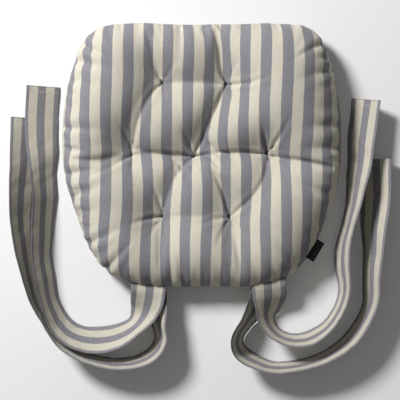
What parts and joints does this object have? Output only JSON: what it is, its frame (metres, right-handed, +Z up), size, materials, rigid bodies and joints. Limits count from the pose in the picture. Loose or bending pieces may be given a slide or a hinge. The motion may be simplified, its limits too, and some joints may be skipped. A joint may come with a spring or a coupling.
{
  "type": "chair seat pad",
  "caption": "Tufted chair seat pad in striped cloth with a soft fibre filling and long cloth ties sewn into its rear edge.",
  "frame": {"origin": "middle of the pad's flat underside, on the surface it rests on", "axes": "+X to the sitter's left-to-right across the seat, +Y to the wide front edge, +Z up through the pad; the ties leave the rear edge towards -Y"},
  "size_m": [0.5538, 0.5036, 0.0803],
  "materials": {
    "striped_cloth": "matte",
    "tie_cloth": "matte",
    "fibre": "matte",
    "thread": "matte",
    "label_cloth": "matte"
  },
  "bodies": {
    "root": {"top_cover": "striped_cloth", "bottom_cover": "striped_cloth", "fibre_filling": "fibre", "edge_seam_thread": "thread", "closing_seam_thread": "thread", "tuft_thread_front_left": "thread", "tuft_thread_front_right": "thread", "tuft_thread_middle_left": "thread", "tuft_thread_middle": "thread", "tuft_thread_middle_right": "thread", "tuft_thread_rear_left": "thread", "tuft_thread_rear_right": "thread", "tie_left_upper": "tie_cloth", "tie_left_lower": "tie_cloth", "tie_right_upper": "tie_cloth", "tie_right_lower": "tie_cloth", "hem_stitch_left_upper": "thread", "hem_stitch_left_lower": "thread", "hem_stitch_right_upper": "thread", "hem_stitch_right_lower": "thread", "tie_anchor_stitch_left": "thread", "tie_anchor_stitch_right": "thread", "side_label": "label_cloth", "label_stitch": "thread"}
  },
  "joints": []
}
